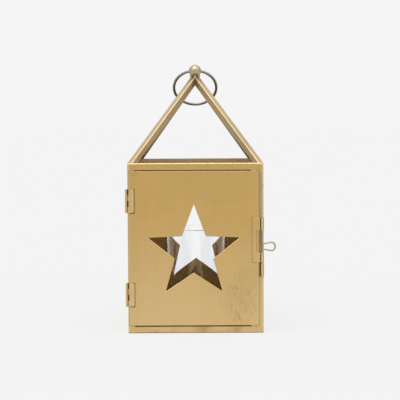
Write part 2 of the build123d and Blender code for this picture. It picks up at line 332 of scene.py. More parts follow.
@built_once
def brush_marks(name):
    """Fine lines left by brushing, drawn out along a direction."""
    tree, given, out = effect(
        name,
        (("Lines", "NodeSocketFloat", 900.0), ("Drawn out", "NodeSocketFloat", 0.03),
         ("Along", "NodeSocketVector", (0, 0, 1))),
        (("Mark", "NodeSocketFloat"),))
    broad_scale, fine_share, broad_share = 0.23, 0.6, 0.4
    place = place_on_piece(tree)
    run = measured(tree, "DOT_PRODUCT", place, given.outputs["Along"])
    squeeze = worked(tree, "MULTIPLY", run, worked(tree, "SUBTRACT", 1.0, given.outputs["Drawn out"]))
    line = vectors(tree, "SCALE", given.outputs["Along"])
    feed(tree, line.node.inputs["Scale"], squeeze)
    place = vectors(tree, "SUBTRACT", place, line)
    fine = grained(tree, place, given.outputs["Lines"], 3.0, 0.65)
    broad = grained(tree, place, worked(tree, "MULTIPLY", given.outputs["Lines"], broad_scale), 2.0, 0.5)
    mark = worked(tree, "ADD", worked(tree, "MULTIPLY", fine, fine_share),
                  worked(tree, "MULTIPLY", broad, broad_share))
    feed(tree, out.inputs["Mark"], ramped(tree, mark, 0.3, 0.7))
    return tree


@built_once
def specks(name):
    """Small dark specks that gather in patches."""
    tree, given, out = effect(
        name,
        (("Grains", "NodeSocketFloat", 700.0), ("Patches", "NodeSocketFloat", 30.0),
         ("Spread", "NodeSocketFloat", 0.5)),
        (("Speck", "NodeSocketFloat"),))
    fewest, widening, softness = 0.85, 0.5, 0.14
    place = place_on_piece(tree)
    grain = ramped(tree, grained(tree, place, given.outputs["Grains"], 2.0, 0.6), 0.60, 0.70)
    patch = grained(tree, place, given.outputs["Patches"], 3.0, 0.55)
    edge = worked(tree, "SUBTRACT", fewest, worked(tree, "MULTIPLY", given.outputs["Spread"], widening))
    near = ramped(tree, patch, worked(tree, "SUBTRACT", edge, softness), edge)
    feed(tree, out.inputs["Speck"], worked(tree, "MULTIPLY", grain, near))
    return tree


@built_once
def weathering(name):
    """Pale dusting with a painted sheen on what looks up, painted shade on what looks down and on what looks inwards.
    """
    tree, given, out = effect(
        name,
        (("Colour", "NodeSocketColor", (0.6, 0.4, 0.2, 1)), ("Dust", "NodeSocketColor", (0.7, 0.6, 0.5, 1)),
         ("Dusting", "NodeSocketFloat", 0.5), ("Tarnish", "NodeSocketColor", (0.2, 0.1, 0.05, 1)),
         ("Tarnishing", "NodeSocketFloat", 0.5), ("Smoking", "NodeSocketFloat", 0.0)),
        (("Colour", "NodeSocketColor"),))
    inside_shade_starts, inside_shade_full, least_inside_shade = 0.03, 0.09, 0.1
    dust_starts, dust_full, under_starts, under_full = 0.2, 0.75, -0.15, -0.75
    facing = tree.nodes.new("ShaderNodeTexCoord").outputs["Normal"]
    looks_up = parted(tree, facing)[2]
    place = place_on_piece(tree)
    height = parted(tree, place)[2]
    sideways = vectors(tree, "MULTIPLY", place, (1.0, 1.0, 0.0))
    inwards = ramped(tree, measured(tree, "DOT_PRODUCT", sideways, facing), -0.01, -0.04)
    # painted shade on the faces that look inwards, into the body, less near the bottom
    shaded = worked(tree, "MULTIPLY", inwards, ramped(tree, height, inside_shade_starts, inside_shade_full, least_inside_shade, 1.0))
    patchy = ramped(tree, grained(tree, place, 160.0, 3.0, 0.6), 0.25, 0.6, 0.7, 1.0)
    # pale sheen on the faces that look up: partly real dusting, partly a painted highlight
    dust = worked(tree, "MULTIPLY", ramped(tree, looks_up, dust_starts, dust_full), given.outputs["Dusting"])
    dust = worked(tree, "MULTIPLY", dust, patchy)
    # painted shade on the faces that look down
    under = ramped(tree, looks_up, under_starts, under_full)
    under = worked(tree, "MULTIPLY", under, given.outputs["Tarnishing"])
    colour = mixed(tree, dust, given.outputs["Colour"], given.outputs["Dust"])
    dark = worked(tree, "MAXIMUM", under, worked(tree, "MULTIPLY", shaded, given.outputs["Smoking"]))
    feed(tree, out.inputs["Colour"], mixed(tree, dark, colour, given.outputs["Tarnish"]))
    return tree


@built_once
def worn_and_highlit_edges(name):
    """A patchy mask along the edges of a box, for worn edges that also carry a painted highlight."""
    tree, given, out = effect(
        name,
        (("Low", "NodeSocketVector", (-1, -1, -1)), ("High", "NodeSocketVector", (1, 1, 1)),
         ("Reach", "NodeSocketFloat", 0.001)),
        (("WearAndHighlight", "NodeSocketFloat"),))
    place = place_on_piece(tree)
    depth = vectors(tree, "MINIMUM", vectors(tree, "SUBTRACT", place, given.outputs["Low"]),
                    vectors(tree, "SUBTRACT", given.outputs["High"], place))
    x, y, z = parted(tree, depth)
    near_edge = worked(tree, "MINIMUM", worked(tree, "MAXIMUM", x, y),
                       worked(tree, "MINIMUM", worked(tree, "MAXIMUM", x, z), worked(tree, "MAXIMUM", y, z)))
    full_share, reach = 0.2, given.outputs["Reach"]
    wear_and_highlight = ramped(tree, near_edge, reach, worked(tree, "MULTIPLY", reach, full_share))
    patchy = ramped(tree, grained(tree, place, 220.0, 3.0, 0.6), 0.3, 0.6, 0.45, 1.0)
    feed(tree, out.inputs["WearAndHighlight"], worked(tree, "MULTIPLY", wear_and_highlight, patchy))
    return tree


@built_once
def shade_round(name):
    """Painted shade gathered on and close round a box, such as the shadow round a plate that lies on a sheet."""
    tree, given, out = effect(
        name,
        (("Middle", "NodeSocketVector", (0, 0, 0)), ("Half", "NodeSocketVector", (1, 1, 1)),
         ("Reach", "NodeSocketFloat", 0.001)),
        (("Shade", "NodeSocketFloat"),))
    away = vectors(tree, "ABSOLUTE", vectors(tree, "SUBTRACT", place_on_piece(tree), given.outputs["Middle"]))
    outside = vectors(tree, "MAXIMUM", vectors(tree, "SUBTRACT", away, given.outputs["Half"]))
    distance = measured(tree, "LENGTH", outside)
    feed(tree, out.inputs["Shade"], ramped(tree, distance, given.outputs["Reach"], 0.0))
    return tree


@built_once
def shade_band(name):
    """Painted shade in a band: none at the clean distance from its middle along a direction, most at the full one."""
    tree, given, out = effect(
        name,
        (("Along", "NodeSocketVector", (0, 0, 1)), ("Middle", "NodeSocketFloat", 0.0),
         ("Clean", "NodeSocketFloat", 0.001), ("Full", "NodeSocketFloat", 0.0),
         ("Strength", "NodeSocketFloat", 1.0)),
        (("Shade", "NodeSocketFloat"),))
    run = measured(tree, "DOT_PRODUCT", place_on_piece(tree), given.outputs["Along"])
    away = worked(tree, "ABSOLUTE", worked(tree, "SUBTRACT", run, given.outputs["Middle"]))
    shade = ramped(tree, away, given.outputs["Clean"], given.outputs["Full"], 0.0, given.outputs["Strength"])
    feed(tree, out.inputs["Shade"], shade)
    return tree


# Finishes

def start_finish(name):
    """A new material with an empty tree, its shader and its surface joined up."""
    material = bpy.data.materials.new(name)
    material.use_nodes = True
    tree = material.node_tree
    tree.nodes.clear()
    shader = tree.nodes.new("ShaderNodeBsdfPrincipled")
    surface = tree.nodes.new("ShaderNodeOutputMaterial")
    tree.links.new(shader.outputs[0], surface.inputs[0])
    return material, tree, shader


def metal_finish(name, main, warm, deep, roughness, clouds=38.0, strength=0.5, floor_reflection=0.0, rubbed_top=0.0,
                 lines=900.0, drawn_out=0.03, along=along_z, line_depth=0.10, speck_depth=0.25, spread=0.45,
                 coat=0.35, dust=0.0, under=0.0, inside_shade=0.0, tarnish=None, edge_box=None, edge_reach=0.0014,
                 dark_places=()):
    """A worn metal: cloudy toning, brush marks and specks, with a thin clear lacquer, and painted light and shade: a
    paler floor reflection low down, a pale sheen, partly dusting, on faces that look up, shade on faces that look
    down or inwards and in most of the dark places, and highlights, partly worn brass, along a box's edges.
    """
    known = bpy.data.materials.get(name)
    if known:
        return known
    edge_highlight_share, brush_swing, dark_dulls = 0.85, 0.05, 0.2
    finishes = bpy.context.scene.lantern_finishes
    tarnish = solid(tarnish or finishes.tarnish)
    material, tree, shader = start_finish(name)
    tone = use_effect(tree, mottling(), Main=solid(main), Warm=solid(warm), Deep=solid(deep), Clouds=clouds,
                      Strength=strength, Foot=solid(finishes.pale_brass), Rubbed_foot=floor_reflection,
                      Top=solid(finishes.brass), Rubbed_top=rubbed_top)
    mark = use_effect(tree, brush_marks(), Lines=lines, Drawn_out=drawn_out, Along=along).outputs["Mark"]
    speck = use_effect(tree, specks(), Spread=spread).outputs["Speck"]
    colour = mixed(tree, worked(tree, "MULTIPLY", mark, line_depth), tone.outputs["Colour"], solid(deep))
    # paler edges of a box: partly worn brass, partly a painted highlight
    if edge_box:
        low, high = edge_box
        wear_and_highlight = use_effect(tree, worn_and_highlit_edges(), Low=low, High=high, Reach=edge_reach).outputs["WearAndHighlight"]
        colour = mixed(tree, worked(tree, "MULTIPLY", wear_and_highlight, edge_highlight_share), colour, solid(finishes.rubbed_and_lit_edge))
    # painted light and shade by which way a face looks: a pale sheen up, shade down and inwards
    facing_light = use_effect(tree, weathering(), Colour=colour, Dust=solid(finishes.dust), Dusting=dust,
                         Tarnish=tarnish, Tarnishing=under, Smoking=inside_shade)
    # the specks are real marks; most dark places are painted shade
    dark = worked(tree, "MULTIPLY", speck, speck_depth)
    for dark_place in dark_places:
        dark = worked(tree, "MAXIMUM", dark, dark_place(tree))
    feed(tree, shader.inputs["Base Color"], mixed(tree, dark, facing_light.outputs["Colour"], tarnish))
    shine = worked(tree, "ADD", ramped(tree, mark, 0.0, 1.0, roughness - brush_swing, roughness + brush_swing),
                   worked(tree, "MULTIPLY", dark, dark_dulls))
    feed(tree, shader.inputs["Roughness"], shine)
    shader.inputs["Metallic"].default_value = 1.0
    shader.inputs["Coat Weight"].default_value = coat
    shader.inputs["Coat Roughness"].default_value = 0.28
    bump = tree.nodes.new("ShaderNodeBump")
    bump.inputs["Strength"].default_value = 0.15
    bump.inputs["Distance"].default_value = 0.00004
    feed(tree, bump.inputs["Height"], worked(tree, "SUBTRACT", mark, dark))
    feed(tree, shader.inputs["Normal"], bump.outputs[0])
    return material


def door_scuff(tree):
    """Fine upright scuffs low down on the latch side of the door, and the duller brass round them."""
    narrowed, narrowed_middle = (1.8, 0.0, 1.0), (0.0690, 0.0, 0.0270)
    fades, full, patches = 0.045, 0.016, 0.02
    upright_streaks, streak_depth, dullness = (1.0, 1.0, 0.22), 0.34, 0.06
    place = place_on_piece(tree)
    reach = measured(tree, "DISTANCE", vectors(tree, "MULTIPLY", place, narrowed), narrowed_middle)
    lean = tree.nodes.new("ShaderNodeVectorRotate")
    lean.rotation_type = "Y_AXIS"
    feed(tree, lean.inputs["Vector"], place)
    lean.inputs["Angle"].default_value = math.radians(5)
    drawn = vectors(tree, "MULTIPLY", lean.outputs[0], upright_streaks)
    streak = ramped(tree, grained(tree, drawn, 760.0, 4.0, 0.7), 0.47, 0.66, 0.0, streak_depth)
    patchy = worked(tree, "MULTIPLY", grained(tree, place, 120.0, 3.0, 0.6), patches)
    near = ramped(tree, worked(tree, "ADD", reach, patchy), fades, full)
    return worked(tree, "MULTIPLY", worked(tree, "ADD", streak, dullness), near)


def shade_at(name, reach, strength, shift=(0.0, 0.0, 0.0), width=None):
    """Painted shade on a flat face round a piece that lies on it, or round the left part of it."""
    through_face = 0.002
    low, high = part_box(name)
    if width:
        high.x = low.x + width
    middle = (low + high) / 2 + Vector(shift)
    half = (high - low) / 2
    half.y += through_face

    def dark_place(tree):
        shade = use_effect(tree, shade_round(), Middle=middle, Half=half, Reach=reach).outputs["Shade"]
        return worked(tree, "MULTIPLY", shade, strength)

    return dark_place


def shade_along(along, clean, full, strength, middle=0.0):
    """Painted shade in a band across a direction."""

    def dark_place(tree):
        band = use_effect(tree, shade_band(), Along=along, Middle=middle, Clean=clean, Full=full,
                          Strength=strength)
        return band.outputs["Shade"]

    return dark_place


def barrel_shade():
    """Painted shade along the line where the hinges' barrels meet their leaves."""
    low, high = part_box("upper_hinge_pin")
    barrel_half = 0.0011
    seam = (low.x + high.x) / 2 + barrel_half
    return shade_along(along_x, clean=0.0006, full=0.0002, strength=0.62, middle=seam)


def keeper_slit():
    """Painted shade in the slits between the rolled keepers and their plates."""
    slit = bolt_left - 0.0010
    return shade_along(along_x, clean=0.0005, full=0.0002, strength=1.0, middle=slit)


def roll_shade():
    """Painted shade on the outer side of the rolled keepers and the strike."""
    return shade_along(along_x, clean=bolt_left + 0.0011, full=bolt_left + 0.0018, strength=0.35)


def slit_shade(tree):
    """Painted shade on the post behind the slits of the rolled keepers and the strike."""
    plate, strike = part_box("latch_plate"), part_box("latch_strike")
    upper_keeper, lower_keeper, rim = 0.0105, 0.0082, 0.0004
    spans = ((plate[1].z - upper_keeper, plate[1].z - rim), (strike[0].z + rim, plate[0].z + lower_keeper))
    slit, half_slit, through_face, reach = bolt_left - 0.0011, 0.0006, 0.002, 0.0003
    dark = 0.0
    for low, high in spans:
        shade = use_effect(tree, shade_round(), Middle=(slit, strike[1].y, (low + high) / 2),
                           Half=(half_slit, through_face, (high - low) / 2), Reach=reach)
        dark = worked(tree, "MAXIMUM", dark, shade.outputs["Shade"])
    return dark


def foot_shadow():
    """Painted shadow along the bottom edge that stands on the ground."""
    return shade_along(along_z, clean=0.0013, full=0.0002, strength=0.75)


def ledge_shade():
    """Painted shade on the ledge of the bottom rails, inside the body."""
    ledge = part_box("bottom_rail_front")[1].z
    return shade_along(along_z, clean=ledge - 0.0005, full=ledge - 0.0001, strength=0.9)


def apex_shade():
    """Painted shade where the roof legs meet under the ball."""
    return shade_along(along_x, clean=0.0040, full=0.0014, strength=0.5)


def door_rim_shade():
    """Painted shade on the door's top edge, in the gap where it closes under the rail."""
    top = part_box("door_panel")[1].z
    return shade_along(along_z, clean=top - 0.0015, full=top - 0.0006, strength=0.45)


def top_bar_finish(side, along):
    """Satin brass of the top rails, brushed along them, paler on top with partly real dusting and partly painted
    sheen, with painted shade underneath and paler edges that are partly a painted highlight; the back one a little
    paler as painted light on its shaded inner face.
    """
    f = bpy.context.scene.lantern_finishes
    # painted light: the back rail takes the paler latch brass to lighten its shaded inner face
    main = f.latch_brass if side == "back" else f.brass
    return metal_finish("brass_bar_top_" + side, main, f.warm_brass, f.toned_brass, f.bar_roughness,
                        clouds=60.0, strength=0.6, along=along, line_depth=0.12, dust=0.5, under=0.9,
                        edge_box=block)


def bottom_bar_finish(side, along):
    """Satin brass of the bottom rails, paler and stained, with painted shade on the ledge and underneath."""
    f = bpy.context.scene.lantern_finishes
    return metal_finish("brass_bar_bottom_" + side, f.pale_brass, f.warm_brass, f.tarnish, f.bar_roughness,
                        clouds=110.0, strength=0.5, along=along, line_depth=0.12, speck_depth=0.45, spread=0.7,
                        under=0.7, dark_places=(foot_shadow(), ledge_shade()))


def post_finish(end):
    """The bars' finish, greyer high up on the front posts and paler at the foot as a painted floor reflection, with
    painted shade round what stands in front of them.
    """
    f = bpy.context.scene.lantern_finishes
    main = f.greyed_brass if end == "front" else f.brass
    # painted shadows of the door, the latch plate and the strike on the posts, painted shade behind the slits and a
    # painted shadow along the bottom edge
    return metal_finish("brass_bar_post_" + end, main, f.leg_brass, f.toned_brass, f.bar_roughness,
                        clouds=60.0, strength=0.35, floor_reflection=0.9, rubbed_top=1.0, line_depth=0.2, dust=0.5,
                        under=0.5, inside_shade=0.2, edge_box=block, edge_reach=0.0024,
                        dark_places=(foot_shadow(), shade_at("latch_strike", reach=0.0008, strength=0.6),
                                     shade_at("latch_plate", reach=0.0008, strength=0.5),
                                     shade_at("door_panel", reach=0.0009, strength=0.55), slit_shade))


def leg_finish(name):
    """The bars' finish, brushed along one roof leg, with painted shade where the legs meet under the ball."""
    f = bpy.context.scene.lantern_finishes
    low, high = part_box(name)
    middle, span = (low + high) / 2, high - low
    along = Vector((-math.copysign(span.x, middle.x), -math.copysign(span.y, middle.y), span.z))
    return metal_finish("brass_bar_" + name, f.leg_brass, f.warm_brass, f.greyed_brass, f.bar_roughness,
                        clouds=60.0, strength=0.5, along=along.normalized(), line_depth=0.2, speck_depth=0.12,
                        under=0.1, dark_places=(apex_shade(),))


def ball_finish():
    """Older, more polished brass of the ball, with a pale sheen on top, partly dusting and partly painted, and
    painted shade underneath.
    """
    f = bpy.context.scene.lantern_finishes
    return metal_finish("brass_bar_ball", f.ball_brass, f.leg_brass, f.greyed_brass, roughness=0.2, clouds=150.0,
                        strength=0.5, drawn_out=0.6, speck_depth=0.35, spread=0.7, dust=0.35, under=0.3)


def sheet_finish(name):
    """Brushed satin brass of the panels, with painted shade inside, the back one most."""
    f = bpy.context.scene.lantern_finishes
    # painted shade on the inside faces, strongest on the back panel
    inside_shade = 0.62 if name == "back_panel" else 0.3
    return metal_finish("brass_sheet_" + name, f.brass, f.warm_brass, f.toned_brass, f.sheet_roughness,
                        strength=1.3, floor_reflection=0.7, coat=0.05, inside_shade=inside_shade, tarnish=f.inside_shade_brown)


def door_finish():
    """The panels' finish with the door's own scuffs, a painted floor reflection low down, painted shade on the inside
    and painted shadows round its fittings.
    """
    f = bpy.context.scene.lantern_finishes
    # painted shadows beside the latch plate's spine and below and right of the hinge leaves
    plate_shade = shade_at("latch_plate", reach=0.0012, strength=0.45, width=0.0030)
    hinge_shadow = [shade_at(f"{level}_hinge_door_leaf", reach=0.0010, strength=1.0, shift=(0.0001, 0, -0.0003))
                   for level in hinge_levels]
    return metal_finish("brass_sheet_door", f.brass, f.warm_brass, f.toned_brass, f.sheet_roughness,
                        strength=1.6, floor_reflection=1.0, speck_depth=0.28, spread=0.5, inside_shade=0.3,
                        dark_places=(door_scuff, plate_shade, *hinge_shadow))


def edge_finish(name="brass_edge", dark_places=()):
    """Bright brass along the broken edges of a sheet, partly a painted highlight, with painted shade on the breaks
    that look down.
    """
    f = bpy.context.scene.lantern_finishes
    return metal_finish(name, f.rubbed_and_lit_edge, f.rubbed_and_lit_edge, f.pale_brass, roughness=0.3, clouds=120.0,
                        speck_depth=0.3, under=0.7, dark_places=dark_places)


def door_edge_finish():
    """The broken edges of the door, with painted shade along its top, in the gap under the rail."""
    return edge_finish("brass_edge_door", (door_rim_shade(),))


def fitting_finish():
    """Rolled brass of the hinges, with painted shade beside their barrels."""
    f = bpy.context.scene.lantern_finishes
    return metal_finish("brass_fitting_hinge", f.fitting_brass, f.warm_brass, f.toned_brass, roughness=0.36,
                        clouds=140.0, strength=0.35, lines=1600.0, spread=0.6, dark_places=(barrel_shade(),))


def latch_finish():
    """Rolled brass of the latch, paler along the crest of the rolls, partly rubbed and partly a painted highlight,
    with painted shade in its slits and on the rolls' outer side.
    """
    f = bpy.context.scene.lantern_finishes
    # painted highlight along the crest of the rolls, given as rubbed brass
    crest = Vector((bolt_left + 0.0003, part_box("latch_plate")[0].y, 0.0))
    far_off = Vector((1.0, 1.0, 1.0))
    return metal_finish("brass_fitting_latch", f.latch_brass, f.warm_brass, f.toned_brass, roughness=0.36,
                        clouds=140.0, strength=0.5, lines=1600.0, spread=0.6, edge_box=(crest, far_off),
                        edge_reach=0.0008, dark_places=(keeper_slit(), roll_shade()))


def ring_finish():
    """Dark toned wire of the carrying ring, with a pale sheen on top, partly dusting and partly painted, and painted
    shade underneath.
    """
    f = bpy.context.scene.lantern_finishes
    return metal_finish("brass_wire_ring", f.ring_wire, f.bolt_wire, f.blackened_wire, roughness=0.27, clouds=180.0,
                        strength=0.3, drawn_out=0.8, speck_depth=0.5, dust=0.6, under=0.85,
                        tarnish=f.blackened_wire)


def bolt_finish():
    """Greyed brass wire of the latch bolt and the hinge pins, with a little pale sheen on top, painted shade
    underneath and in the keeper slits.
    """
    f = bpy.context.scene.lantern_finishes
    return metal_finish("brass_wire_bolt", f.bolt_wire, f.fitting_brass, f.ring_wire, roughness=0.33, clouds=200.0,
                        strength=0.4, drawn_out=0.8, speck_depth=0.5, spread=0.6, dust=0.1, under=0.7,
                        dark_places=(keeper_slit(),))


def solder_finish():
    """Brassed solder, duller and more pitted than the bars, with a pale sheen on top, partly dusting and partly
    painted, and painted shade underneath.
    """
    f = bpy.context.scene.lantern_finishes
    return metal_finish("brass_solder", f.solder, f.pale_brass, f.tarnish, roughness=0.44, clouds=420.0, strength=0.5,
                        drawn_out=1.0, speck_depth=0.7, spread=0.9, dust=0.5, under=0.5)


def glass_finish():
    """Clear glass with faint upright wiping marks."""
    known = bpy.data.materials.get("clear_glass_cup")
    if known:
        return known
    f = bpy.context.scene.lantern_finishes
    material, tree, shader = start_finish("clear_glass_cup")
    haze_share, dull_share, smear = 0.03, 0.9, 0.02
    wipe = use_effect(tree, brush_marks(), Lines=260.0, Drawn_out=0.05).outputs["Mark"]
    haze = worked(tree, "MULTIPLY", wipe, haze_share)
    dull = [dull_share * level for level in f.glass]
    feed(tree, shader.inputs["Base Color"], mixed(tree, haze, solid(f.glass), solid(dull)))
    feed(tree, shader.inputs["Roughness"], ramped(tree, wipe, 0.2, 1.0, 0.0, smear))
    shader.inputs["Transmission Weight"].default_value = 1.0
    shader.inputs["IOR"].default_value = 1.5
    shader.inputs["Specular IOR Level"].default_value = 0.16
    shader.inputs["Specular Tint"].default_value = (1.0, 0.80, 0.56, 1.0)
    return material


# Shaping helpers

def dress(name, *finishes):
    """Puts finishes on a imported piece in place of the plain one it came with."""
    slots = nodes[name].data.materials
    slots.clear()
    for finish in finishes:
        slots.append(finish)


def break_edges(name, width):
    """Breaks the sharp edges of an imported sheet piece; its second finish shows on the breaks."""
    piece = nodes[name]
    weld = piece.modifiers.new("joined faces", "WELD")
    weld.merge_threshold = 1e-6
    flat = piece.modifiers.new("flat faces", "DECIMATE")
    flat.decimate_type = "DISSOLVE"
    flat.angle_limit = math.radians(0.5)
    ease = piece.modifiers.new("broken edges", "BEVEL")
    ease.limit_method = "ANGLE"
    ease.angle_limit = math.radians(40)
    ease.width = width
    ease.segments = 2
    ease.material = 1
    even = piece.modifiers.new("even shading", "WEIGHTED_NORMAL")
    even.keep_sharp = False


def finished_piece(shape, name, body, finish):
    """Turns a drawn shape into a named piece that rides a body."""
    for face in shape.faces:
        face.smooth = True
    mesh = bpy.data.meshes.new(name)
    shape.to_mesh(mesh)
    shape.free()
    mesh.materials.append(finish)
    piece = bpy.data.objects.new(name, mesh)
    bpy.context.scene.collection.objects.link(piece)
    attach(piece, body)


def divided(corners, step):
    """Points at even steps round the runs between corners."""
    points = []
    for start, end in zip(corners, corners[1:] + corners[:1]):
        count = max(1, round((end - start).length / step))
        points += [start.lerp(end, index / count) for index in range(count)]
    return points


def lay_bead(shape, points, radius, facing, seed, sides=8):
    """Lays an uneven bead of solder round a closed line of points."""
    swell, swells_per_metre = 0.45, 900.0
    lump, lumps_per_metre = 0.18, 1700.0
    rings = []
    for index, point in enumerate(points):
        along = (points[(index + 1) % len(points)] - points[index - 1]).normalized()
        across = along.cross(facing).normalized()
        out = across.cross(along)
        size = radius * (1.0 + swell * noise.noise(point * swells_per_metre + Vector((seed, 0, 0))))
        ring = []
        for turn in range(sides):
            angle = 2 * math.pi * turn / sides
            reach = size * (1.0 + lump * noise.noise(point * lumps_per_metre + Vector((seed, turn, 0))))
            ring.append(shape.verts.new(point + reach * (math.cos(angle) * across + math.sin(angle) * out)))
        rings.append(ring)
    for first, second in zip(rings, rings[1:] + rings[:1]):
        for turn in range(sides):
            shape.faces.new((first[turn], first[turn - 1], second[turn - 1], second[turn]))


def lay_lump(shape, middle, size, squash, seed):
    """Drops one uneven lump of solder."""
    swell, swells = 0.30, 1.4
    dent, dents = 0.10, 4.0
    made = bmesh.ops.create_icosphere(shape, subdivisions=3, radius=1.0)
    for vertex in made["verts"]:
        way = vertex.co.copy()
        uneven = 1.0 + swell * noise.noise(way * swells + Vector((seed, 0, 0))) + dent * noise.noise(way * dents)
        vertex.co = middle + Vector([size * uneven * part * share for part, share in zip(way, squash)])


def turn_profile(shape, profile, middle, sides=20):
    """Turns a profile of radii and heights round an upright axis."""
    rings = []
    for radius, height in profile:
        ring = []
        for turn in range(sides):
            angle = 2 * math.pi * turn / sides
            place = Vector((radius * math.cos(angle), radius * math.sin(angle), height))
            ring.append(shape.verts.new(middle + place))
        rings.append(ring)
    for lower, upper in zip(rings, rings[1:]):
        for turn in range(sides):
            shape.faces.new((lower[turn - 1], lower[turn], upper[turn], upper[turn - 1]))
    shape.faces.new(reversed(rings[0]))
    shape.faces.new(rings[-1])


# Operators

class LANTERN_OT_frame_bars(Operator):
    """Finish the posts, the rails and the roof legs"""

    bl_idname = "lantern.frame_bars"
    bl_label = "Frame bars"

    def execute(self, context):
        for name in posts:
            dress(name, post_finish(name.split("_")[1]))
        for name in rails:
            finish = top_bar_finish if name.startswith("top") else bottom_bar_finish
            side = name.rsplit("_", 1)[1]
            dress(name, finish(side, along_x if side in ("front", "back") else along_y))
        for name in legs:
            dress(name, leg_finish(name))
        return {"FINISHED"}


class LANTERN_OT_leg_feet(Operator):
    """Run solder round the foot of each roof leg"""

    bl_idname = "lantern.leg_feet"
    bl_label = "Leg feet"

    def execute(self, context):
        radius = context.scene.lantern_details.foot_bead
        same_corner, set_in, step = 2e-4, 0.07, 0.0006
        for number, name in enumerate(legs):
            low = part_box(name)[0].z
            foot = [v.co.copy() for v in nodes[name].data.vertices if v.co.z < low + 1e-6]
            if len(foot) < 3:
                raise RuntimeError(f"no foot found on {name}")
            middle = sum(foot, Vector()) / len(foot)
            foot.sort(key=lambda point: math.atan2(point.y - middle.y, point.x - middle.x))
            rim = [point.lerp(middle, set_in) for point, last in zip(foot, foot[-1:] + foot[:-1])
                   if (point - last).length > same_corner]
            shape = bmesh.new()
            lay_bead(shape, divided(rim, step), radius, Vector(along_z), seed=3.7 * number)
            finished_piece(shape, name + "_solder", "frame", solder_finish())
        return {"FINISHED"}


class LANTERN_OT_ball(Operator):
    """Finish the ball and drop solder where it sits on the legs"""

    bl_idname = "lantern.ball"
    bl_label = "Ball"

    def execute(self, context):
        details = context.scene.lantern_details
        dress("ball_finial", ball_finish())
        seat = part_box("ball_finial")[0].z + 0.0002
        shape = bmesh.new()
        for number in range(details.neck_lumps):
            angle = 2 * math.pi * number / details.neck_lumps
            broad = abs(math.cos(angle))
            reach = details.neck_reach * (0.8 + 0.2 * broad)
            middle = Vector((reach * math.cos(angle), reach * math.sin(angle), seat))
            size = details.neck_lump * (1.0 + 0.2 * noise.noise(Vector((number, 7.1, 0))))
            lay_lump(shape, middle, size, squash=(1.0, 1.0, 0.9 + 0.4 * broad), seed=5.3 * number)
        finished_piece(shape, "ball_solder", "frame", solder_finish())
        return {"FINISHED"}


class LANTERN_OT_sheets(Operator):
    """Finish the door, the panels, the base, the door stop and the glass seat"""

    bl_idname = "lantern.sheets"
    bl_label = "Sheets"

    def execute(self, context):
        details = context.scene.lantern_details
        dress("door_panel", door_finish(), door_edge_finish())
        break_edges("door_panel", details.door_edge)
        for name in (*fixed_panels, "base_plate", "door_stop", "glass_seat"):
            dress(name, sheet_finish(name), edge_finish())
        for name in (*fixed_panels, "glass_seat"):
            break_edges(name, details.broken_edge)
        return {"FINISHED"}


class LANTERN_OT_panel_seams(Operator):
    """Run solder along the inside edges of the fixed panels"""

    bl_idname = "lantern.panel_seams"
    bl_label = "Panel seams"

    def execute(self, context):
        radius = context.scene.lantern_details.seam_bead
        set_in, step = 0.3 * radius, 0.0012
        for number, name in enumerate(fixed_panels):
            low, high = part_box(name)
            middle = (low + high) / 2
            flat = 1 if name == "back_panel" else 0
            inward = -1.0 if middle[flat] > 0 else 1.0
            face = low[flat] if inward < 0 else high[flat]
            corners = []
            for across_end, up_end in ((low, low), (high, low), (high, high), (low, high)):
                corner = Vector((across_end.x, across_end.y, up_end.z))
                corner[flat] = face
                corner[1 - flat] -= math.copysign(set_in, corner[1 - flat])
                corner.z += math.copysign(set_in, middle.z - corner.z)
                corners.append(corner)
            facing = Vector((0, 0, 0))
            facing[flat] = inward
            shape = bmesh.new()
            lay_bead(shape, divided(corners, step), radius, facing, seed=11.0 * number)
            finished_piece(shape, name + "_solder", "frame", solder_finish())
        return {"FINISHED"}


class LANTERN_OT_hinges(Operator):
    """Finish the hinge leaves and peen the ends of their pins"""

    bl_idname = "lantern.hinges"
    bl_label = "Hinges"

    def execute(self, context):
        details = context.scene.lantern_details
        leaf_edge, rise = 0.5 * details.broken_edge, 0.45 * details.pin_head
        for level in hinge_levels:
            for part in ("frame_leaf", "door_leaf"):
                name = f"{level}_hinge_{part}"
                dress(name, fitting_finish(), edge_finish())
                break_edges(name, leaf_edge)
            dress(f"{level}_hinge_pin", bolt_finish())
            low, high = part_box(f"{level}_hinge_pin")
            middle = (low + high) / 2
            dome = [(details.pin_head * math.cos(turn), rise * math.sin(turn))
                    for turn in map(math.radians, (0, 25, 50, 72, 85))]
            shape = bmesh.new()
            turn_profile(shape, dome, Vector((middle.x, middle.y, high.z)))
            turn_profile(shape, [(radius, -height) for radius, height in reversed(dome)],
                         Vector((middle.x, middle.y, low.z)))
            finished_piece(shape, f"{level}_hinge_pin_heads", "frame", fitting_finish())
        return {"FINISHED"}


class LANTERN_OT_latch(Operator):
    """Finish the latch plate, the strike and the bolt"""

    bl_idname = "lantern.latch"
    bl_label = "Latch"

    def execute(self, context):
        width = context.scene.lantern_details.broken_edge
        for name in ("latch_plate", "latch_strike"):
            dress(name, latch_finish(), edge_finish())
            break_edges(name, width)
        dress("latch_bolt", bolt_finish())
        return {"FINISHED"}


class LANTERN_OT_carrying_ring(Operator):
    """Finish the carrying ring"""

    bl_idname = "lantern.carrying_ring"
    bl_label = "Carrying ring"

    def execute(self, context):
        dress("carrying_ring", ring_finish())
        return {"FINISHED"}


class LANTERN_OT_glass(Operator):
    """Finish the glass cup"""

    bl_idname = "lantern.glass"
    bl_label = "Glass"

    def execute(self, context):
        dress("glass_cup", glass_finish())
        return {"FINISHED"}


